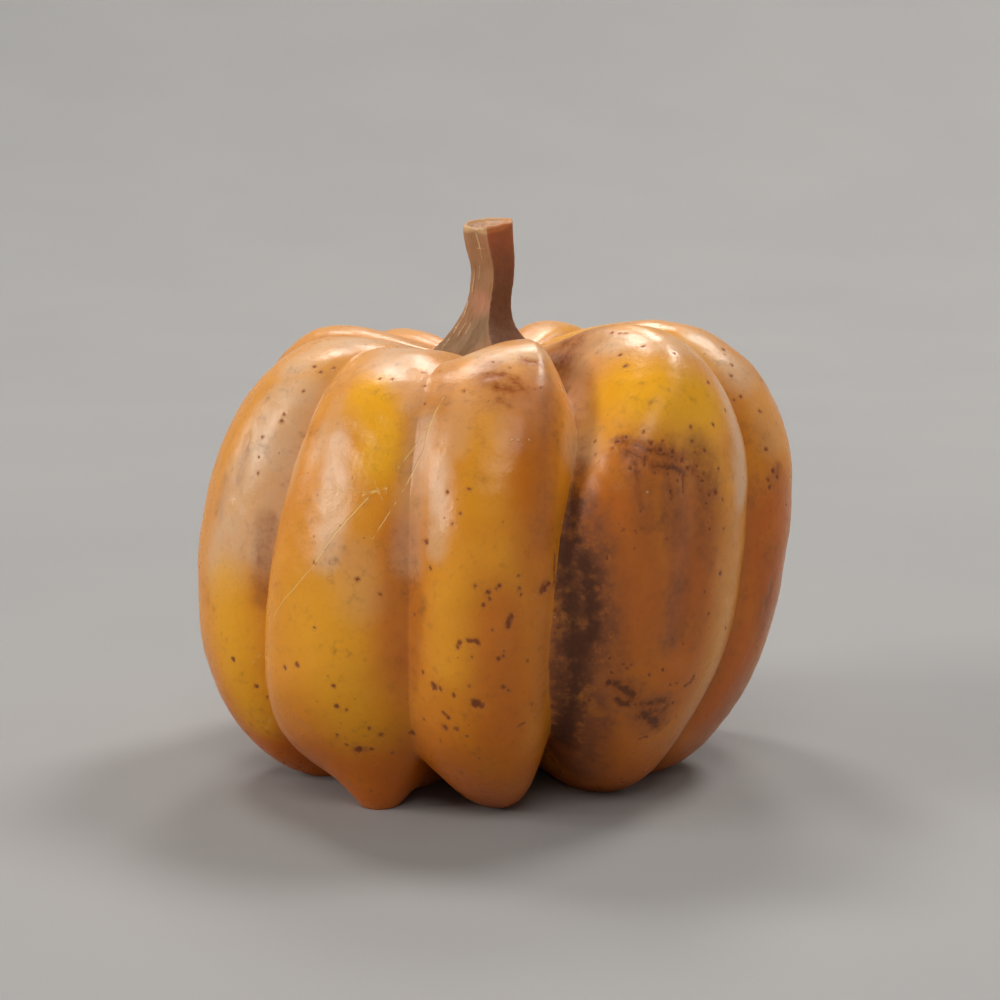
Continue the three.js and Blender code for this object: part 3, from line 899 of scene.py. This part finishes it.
def stem_side():
    z = np.linspace(STEM_SECTIONS[0, 0], STEM_SECTIONS[-1, 0], STEM_ROWS)[::-1]
    share = (z - z.min()) / (z.max() - z.min())
    x = through(z, STEM_SECTIONS[:, 0], STEM_SECTIONS[:, 1])
    r = through(z, STEM_SECTIONS[:, 0], STEM_SECTIONS[:, 2])
    angle = np.arange(STEM_COLUMNS) * 2 * np.pi / STEM_COLUMNS
    rib = rib_angles(angle, share)
    hollow = np.abs(np.sin(rib / 2)) ** HOLLOW_POWER
    depth = through(share, RIB_DEPTHS[:, 0], RIB_DEPTHS[:, 1])[:, None]
    fold_at = np.radians(np.interp(share, (FOLD_SHARES[0], FOLD_SHARES[-1]), FOLD_AZIMUTHS))[:, None]
    from_fold = np.abs((angle[None, :] - fold_at + np.pi) % (2 * np.pi) - np.pi)
    fold = np.maximum(1 - from_fold / math.radians(FOLD_WIDTH * 2), 0) * FOLD_DEPTH
    fold = fold * (smoothstep(share, *FOLD_SHARES[:2]) * (1 - smoothstep(share, *FOLD_SHARES[2:])))[:, None]
    radius = r[:, None] * (1 + depth * (1 - 2 * hollow) + fold)
    slope = CUT_SLOPE * share[:, None] ** CUT_FADE
    fall = slope * radius * np.cos(angle - math.radians(CUT_AZIMUTH))[None, :]
    points = np.stack([
        x[:, None] + SHIFT[0] + radius * np.sin(angle),
        SHIFT[1] - radius * np.cos(angle),
        z[:, None] - fall,
    ], -1)
    return points, share, angle, rib


def cut_rings(rim, centre, wave):
    """Rings from the rim of the side round the lip and into the dished cut."""
    rings = []
    for inward, lift in LIP_SHAPE:
        ring = rim + (centre - rim) * inward
        ring[:, 2] += lift * (1 + 0.4 * wave)
        rings.append(ring)
    for inward in np.linspace(*CUT_REACH, CUT_RINGS):
        sink = CUT_DISH * (0.35 + 0.65 * smoothstep(inward, 0.2, 0.9))
        rings.append(rim + (centre - rim) * inward - (0, 0, sink))
    return np.array(rings[::-1])


def paint_stem(surface):
    for name, washes in (("rose", STEM_ROSE), ("olive", STEM_OLIVE)):
        for line, radius, amount in washes:
            surface.wash(name, surface.trail(line, 4), radius, amount)
    for line, radius in STEM_FIBRES:
        surface.mark("fibre", surface.trail(line, 2), radius)


def stem_relief(surface, turn, share, onto_cut):
    """Height of the stem's fibres and dents above its ribs, in millimetres."""
    relief = np.zeros(len(surface.points))
    for wavelength, stretch, height in STEM_RIPPLES:
        relief += height * ripple(surface.points * (1, 1, stretch), wavelength)
    lines = sum(np.sin(turn * n + share * twist) for n, twist in STEM_LINES)
    relief[:-2] += (STEM_LINE_HEIGHT * lines * (1 - onto_cut)).ravel()
    relief += STEM_FIBRE_HEIGHT * smoothstep(surface.field("fibre", -OUTSIDE), -0.5, 0.3)
    relief[:-2] *= (1 - 0.6 * onto_cut).ravel()
    relief[-2:] = 0
    return relief


def make_stem():
    side, share, angle, rib = stem_side()
    centre = side[0].mean(axis=0)
    wave = 0.6 * np.sin(3 * angle + 1) + 0.4 * np.sin(7 * angle + 2.5)
    cap = cut_rings(side[0], centre, wave)
    count = len(cap)
    inner = count - len(LIP_SHAPE)
    grid = np.concatenate([cap, side])
    rows, columns = grid.shape[:2]
    middle = centre - (0, 0, CUT_DISH)
    foot = side[-1].mean(axis=0)
    surface = Surface(grid, middle, foot)

    # The fields that the material reads, each with its values in the middle of the cut and under the foot
    share = np.concatenate([np.ones(count), share])[:, None]
    rib = np.concatenate([np.repeat(rib[:1], count, axis=0), rib])
    onto_cut = np.zeros((rows, columns))
    onto_cut[:count] = 1
    sharp = 1 - smoothstep(np.abs(np.sin(rib / 2)), 0.03, 0.28)
    # Red-brown faces, partly real colour and partly painted shade on the side turned from the light
    ruddy_and_shade = np.array(FACET_RUDDY_AND_SHADE)[np.floor(rib / (2 * np.pi)).astype(int) % STEM_RIBS]
    ruddy_and_shade[:inner] = 0
    lip = np.zeros((rows, columns))
    lip[inner:count] = 1
    lip[count:] = 1 - smoothstep(side[0, :, 2] - side[..., 2] - 0.7 * wave, 0.4, 2.2)
    surface.fields["edge"] = np.append(sharp * (1 - onto_cut), [0, 0])
    surface.fields["ruddy_and_shade"] = np.append(ruddy_and_shade, [0, 0])
    surface.fields["lip"] = np.append(lip, [0, 0])
    surface.fields["cut"] = np.append(onto_cut, [1, 0])
    surface.fields["height"] = np.append(np.broadcast_to(share, (rows, columns)), [1, 0])
    paint_stem(surface)

    turn = np.broadcast_to(angle, (rows, columns))
    around = np.stack([np.sin(turn), -np.cos(turn)], -1) * STEM_GRAIN_ROUND
    grain = np.concatenate([around, grid[..., 2:] * MM * STEM_GRAIN_ALONG], -1)
    grain[:count] = cap * MM
    surface.fields["grain"] = with_poles(grain, middle * MM, foot * MM)
    relief = stem_relief(surface, turn, share, onto_cut)
    shaped = surface.points + surface.normals * relief[:, None]
    for x, depth in CUT_NOTCHES:
        on_cut = surface.fields["cut"] * np.exp(-(((shaped[:, 0] - x) / NOTCH_WIDTH) ** 2))
        shaped[:, 2] -= depth * on_cut
    shaped[:, 2] = np.minimum(shaped[:, 2], CAD_BOUNDS[1][2] / MM - CUT_MARGIN)
    quads, fans = closed_faces(rows, columns)
    piece = make_piece("pumpkin_stem", shaped, quads, fans, surface.fields, stem_material())
    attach(piece, "root")
    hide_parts("stem")
    return piece


# Materials

class Value:
    """The output of a node. Adding, subtracting or multiplying it makes the node that does so."""

    def __init__(self, socket):
        self.socket = socket
        self.nodes = socket.id_data.nodes

    def math(self, operation, other=0.0):
        node = new_node(self.nodes, "ShaderNodeMath", {0: self, 1: other}, operation=operation)
        return Value(node.outputs[0])

    def __add__(self, other):
        return self.math("ADD", other)

    def __sub__(self, other):
        return self.math("SUBTRACT", other)

    def __mul__(self, other):
        return self.math("MULTIPLY", other)


class Skin:
    """A material with one shader, and the places and fields that its nodes read."""

    def __init__(self, name):
        self.material = bpy.data.materials.new(name)
        self.material.use_nodes = True
        tree = self.material.node_tree
        self.nodes = tree.nodes
        self.nodes.clear()
        self.shader = self.nodes.new("ShaderNodeBsdfPrincipled")
        output = self.nodes.new("ShaderNodeOutputMaterial")
        tree.links.new(self.shader.outputs["BSDF"], output.inputs["Surface"])

    def place(self):
        return Value(self.nodes.new("ShaderNodeTexCoord").outputs["Object"])

    def field(self, name, output="Fac"):
        return Value(new_node(self.nodes, "ShaderNodeAttribute", attribute_name=name).outputs[output])

    def surface(self, colour, roughness, height=None):
        """Sets the shader's colour and roughness, and its bumps by their height in millimetres."""
        feed(self.shader.inputs["Base Color"], colour)
        feed(self.shader.inputs["Roughness"], roughness)
        if height is not None:
            bump = new_node(self.nodes, "ShaderNodeBump", {"Strength": 1, "Distance": MM, "Height": height})
            feed(self.shader.inputs["Normal"], Value(bump.outputs["Normal"]))


def feed(socket, value):
    """Links a socket to a node's output, or sets its value."""
    if isinstance(value, Value):
        socket.id_data.links.new(value.socket, socket)
    elif isinstance(value, tuple) and len(value) == 3 and socket.type == "RGBA":
        socket.default_value = (*value, 1)
    else:
        socket.default_value = value


def new_node(nodes, kind, inputs=None, **settings):
    """A node with its settings, and its inputs linked to other nodes or set to plain values."""
    node = nodes.new(kind)
    for name, value in settings.items():
        setattr(node, name, value)
    for socket, value in (inputs or {}).items():
        feed(node.inputs[socket], value)
    return node


def noise(place, scale, detail=3.0, roughness=0.5):
    inputs = {"Vector": place, "Scale": scale, "Detail": detail, "Roughness": roughness}
    return Value(new_node(place.nodes, "ShaderNodeTexNoise", inputs).outputs["Fac"])


def dots(place, scale):
    """How far a place lies from the nearest of a scatter of dots, and a random number for each dot."""
    node = new_node(place.nodes, "ShaderNodeTexVoronoi", {"Vector": place, "Scale": scale, "Randomness": 1})
    return Value(node.outputs["Distance"]), Value(node.outputs["Color"])


def ramp(value, low, high, start=0.0, end=1.0):
    inputs = {"Value": value, "From Min": low, "From Max": high, "To Min": start, "To Max": end}
    node = new_node(value.nodes, "ShaderNodeMapRange", inputs, interpolation_type="SMOOTHSTEP")
    return Value(node.outputs["Result"])


def mix(share, a, b):
    settings = {"data_type": "RGBA", "clamp_factor": True}
    return Value(new_node(share.nodes, "ShaderNodeMix", {0: share, 6: a, 7: b}, **settings).outputs[2])


def layered(colour, *layers):
    """A colour with others laid over it in turn, each as far as its share goes."""
    for share, tint in layers:
        colour = mix(share, colour, tint)
    return colour


def ripe_colour(skin, place, patchy, ragged, fine, streak):
    """The ripe skin from deep orange to yellow, with its bloom and painted highlights, and painted shade as
    deeper orange.
    """
    broad = noise(place, 17, 3)
    return layered(
        mix(ramp(broad, 0.34, 0.66), (0.70, 0.243, 0.008), (0.77, 0.298, 0.011)),
        # Painted shade: deeper, darker orange low down and on flanks turned from the light
        (skin.field("deep_orange_and_shade") * ramp(patchy, 0.25, 0.7, 1.1, 0.8), (0.48, 0.070, 0.001)),
        (ramp(streak, 0.5, 0.78, 0, 0.03), (0.50, 0.17, 0.03)),
        (ramp(patchy, 0.5, 0.8, 0, 0.16), (0.56, 0.17, 0.020)),
        (ramp(patchy, 0.5, 0.24, 0, 0.12), (0.82, 0.42, 0.08)),
        (ramp(ragged, 0.5, 0.85, 0, 0.12), (0.52, 0.16, 0.025)),
        # Painted highlight and sheen, with a peach bloom
        (skin.field("bloom_and_sheen") * ramp(patchy, 0.3, 0.7, 0.7, 1) * 0.85, (0.76, 0.50, 0.30)),
        (skin.field("gold") * ramp(patchy, 0.2, 0.55, 0.85, 1), (0.86, 0.395, 0.008)),
        (ramp(fine, 0.45, 0.85, 0, 0.14), (0.52, 0.17, 0.03)),
    )


def rind_material():
    skin = Skin("rind_skin")
    place = skin.place()
    patchy = noise(place, 62, 5, 0.62)
    ragged = noise(place, 260, 5, 0.65)
    fine = noise(place, 700, 4, 0.6)
    streak = noise(skin.field("grain", "Vector"), 330, 4, 0.6)
    rough_edge = (ragged - 0.5) * 9
    coarse_edge = (patchy - 0.5) * 7
    fine_edge = (fine - 0.5) * 2.4

    # How much each kind of mark covers
    # Painted shade in the grooves and on flanks turned from the light, together with real brown patches
    brown_and_shade = skin.field("brown_and_shade") * ramp(patchy, 0.25, 0.62, 0.5, 1.2) * ramp(ragged, 0.3, 0.65, 0.7, 1.15)
    brown_and_shade = brown_and_shade.math("MINIMUM", 1)
    stain = ramp(skin.field("stain") + rough_edge + coarse_edge, -3, 3.6, 0, 0.9)
    blot = skin.field("blot") + (rough_edge + coarse_edge * 0.5) * 0.7 + fine_edge
    blot_share = ramp(blot, -0.6, 1.6, 0, 0.85)
    speck = skin.field("speck") + fine_edge
    speck_share = ramp(speck, -0.2, 0.45, 0, 0.95)
    freckle, freckle_kind = dots(place, 230)
    freckle = ramp(freckle, 0.13, 0.05) * ramp(freckle_kind, 0.70, 0.76)
    scab = ramp(skin.field("scab") + fine_edge, -0.1, 0.5)
    scratch = scratch_share(skin, fine_edge * 0.6)
    scar = skin.field("scar") * ramp(ragged, 0.3, 0.6, 0.6, 1)

    # Soft brown and painted shade first, then stains, blots and specks, which are darker inside, and the pale
    # marks last
    colour = layered(
        ripe_colour(skin, place, patchy, ragged, fine, streak),
        (brown_and_shade, (0.27, 0.076, 0.018)),
        (stain, (0.066, 0.016, 0.003)),
        (ramp(blot, -2.4, 0.2, 0, 0.45), (0.40, 0.12, 0.024)),
        (blot_share, mix(ramp(blot, 1.2, 3), (0.36, 0.092, 0.010), (0.10, 0.022, 0.002))),
        (ramp(speck, -1, 0.1, 0, 0.35), (0.40, 0.13, 0.022)),
        (speck_share, mix(ramp(speck, 0.1, 1.2), (0.34, 0.085, 0.010), (0.17, 0.040, 0.004))),
        (freckle * 0.5, (0.24, 0.08, 0.02)),
        (scab * 0.5, (0.74, 0.42, 0.16)),
        (scratch * 0.75, (0.84, 0.56, 0.18)),
        (scar, (0.30, 0.19, 0.11)),
    )
    roughness = ramp(patchy, 0.3, 0.7, 0.26, 0.34) + stain * 0.25 + speck_share * 0.25 + brown_and_shade * 0.12
    height = fine * 0.08 + streak * 0.02 + ragged * 0.14 + scab * 0.2
    height = height - speck_share * 0.1 - blot_share * 0.1 - stain * 0.12 - freckle * 0.12 - scratch * 0.12
    skin.surface(colour, roughness, height)
    feed(skin.shader.inputs["Specular IOR Level"], 0.42)
    feed(skin.shader.inputs["Specular Tint"], (1.0, 0.96, 0.92))
    return skin.material


def scratch_share(skin, edge):
    """How much of a scratch covers a place, from all three layers of scratches."""
    split = []
    for name in ("scratch_off", "scratch_on"):
        node = new_node(skin.nodes, "ShaderNodeSeparateXYZ", {0: skin.field(name, "Vector")})
        split.append([Value(output) for output in node.outputs])
    lines = [ramp(off.math("ABSOLUTE") + edge, 1.5, 0.6) * on for off, on in zip(*split)]
    return lines[0].math("MAXIMUM", lines[1]).math("MAXIMUM", lines[2])


def stem_material():
    skin = Skin("stem_skin")
    place = skin.place()
    grain = skin.field("grain", "Vector")
    ruddy_and_shade = skin.field("ruddy_and_shade")
    broad = noise(place, 90, 3)
    patchy = noise(place, 300, 5, 0.6)
    fibres = noise(grain, 1500, 4, 0.6)
    threads = noise(grain, 5200, 3, 0.6)
    redness = ramp(skin.field("height") + broad * 0.4, 0.75, 1.2)
    cut_colour = mix(ramp(patchy, 0.35, 0.7), (0.50, 0.27, 0.13), (0.32, 0.15, 0.07))
    lip_colour = mix(ruddy_and_shade, (0.64, 0.40, 0.19), (0.62, 0.20, 0.05))
    colour = layered(
        mix(ramp(broad, 0.35, 0.65), (0.31, 0.145, 0.055), (0.38, 0.19, 0.085)),
        (skin.field("rose") * 0.75, (0.50, 0.22, 0.12)),
        (skin.field("olive") * ramp(patchy, 0.3, 0.7, 0.6, 1), (0.25, 0.150, 0.070)),
        # Red-brown faces, darker low down: partly real colour, partly painted shade on the side turned from
        # the light
        (ruddy_and_shade * ramp(patchy, 0.25, 0.7, 1, 0.75), mix(redness, (0.15, 0.052, 0.020), (0.40, 0.090, 0.022))),
        (ramp(fibres, 0.5, 0.75, 0, 0.28), (0.20, 0.10, 0.04)),
        (ramp(threads, 0.55, 0.75, 0, 0.22), (0.56, 0.36, 0.18)),
        (skin.field("edge") * ramp(patchy, 0.35, 0.65, 0, 0.22), (0.52, 0.30, 0.15)),
        (ramp(skin.field("fibre"), -0.2, 0.1) * ramp(patchy, 0.35, 0.6, 0.1, 0.75), (0.70, 0.52, 0.26)),
        (skin.field("cut"), cut_colour),
        (skin.field("lip") * ramp(patchy, 0.3, 0.6, 0.6, 0.95), lip_colour),
    )
    height = fibres * 0.22 + threads * 0.12 + patchy * 0.2
    skin.surface(colour, ramp(patchy, 0.3, 0.7, 0.5, 0.68), height)
    feed(skin.shader.inputs["Specular IOR Level"], 0.4)
    return skin.material


def floor_material():
    skin = Skin("pale_floor")
    shade = noise(skin.place(), 3, 2)
    skin.surface(mix(ramp(shade, 0.3, 0.7), (0.31, 0.31, 0.31), (0.325, 0.325, 0.322)), 0.8)
    return skin.material


# Floor, light and camera

def make_floor():
    """A pale floor that rises gently all round, a long way off."""
    angle = np.arange(FLOOR_SIDES) * 2 * np.pi / FLOOR_SIDES
    rings = []
    for r in FLOOR_RADII:
        height = np.full(FLOOR_SIDES, max(r - FLOOR_FLAT, 0) ** 2 / FLOOR_RISE)
        rings.append(np.stack([r * np.sin(angle), -r * np.cos(angle), height], -1))
    points = np.vstack([*rings, [[0, 0, 0]]])
    quads, fans = closed_faces(len(rings), FLOOR_SIDES)
    floor = make_piece("floor", points, quads, fans[:FLOOR_SIDES], {}, floor_material())


def make_lights():
    """Even light from each side, as from round lamps a long way off."""
    for name, (azimuth, elevation, width, strength) in LIGHTS.items():
        lamp = bpy.data.lights.new(name, "SUN")
        lamp.angle = math.radians(width)
        lamp.energy = strength
        lamp.color = LIGHT_COLOUR
        light = bpy.data.objects.new(name, lamp)
        turn, rise = math.radians(azimuth), math.radians(elevation)
        out = math.cos(rise)
        light.location = (2 * math.sin(turn) * out, -2 * math.cos(turn) * out, 2 * math.sin(rise))
        light.rotation_euler = (math.pi / 2 - rise, 0, turn)
        bpy.context.scene.collection.objects.link(light)
    world = bpy.data.worlds.new("studio")
    world.use_nodes = True
    background = world.node_tree.nodes["Background"]
    background.inputs["Color"].default_value = (1, 1, 1, 1)
    background.inputs["Strength"].default_value = WORLD_STRENGTH
    bpy.context.scene.world = world


def make_camera():
    data = bpy.data.cameras.new("camera")
    data.lens = CAMERA_LENS
    data.sensor_width = SENSOR_WIDTH
    data.clip_start = 0.01
    camera = bpy.data.objects.new("camera", data)
    camera.location = np.array(CAMERA_PLACE) * MM
    camera.rotation_euler = (math.radians(90 - CAMERA_PITCH), 0, 0)
    bpy.context.scene.collection.objects.link(camera)
    bpy.context.scene.camera = camera


make_camera()
make_floor()
make_fruit()
make_stem()
make_lights()
bpy.context.scene.view_settings.view_transform = "Standard"

bpy.context.view_layer.update()
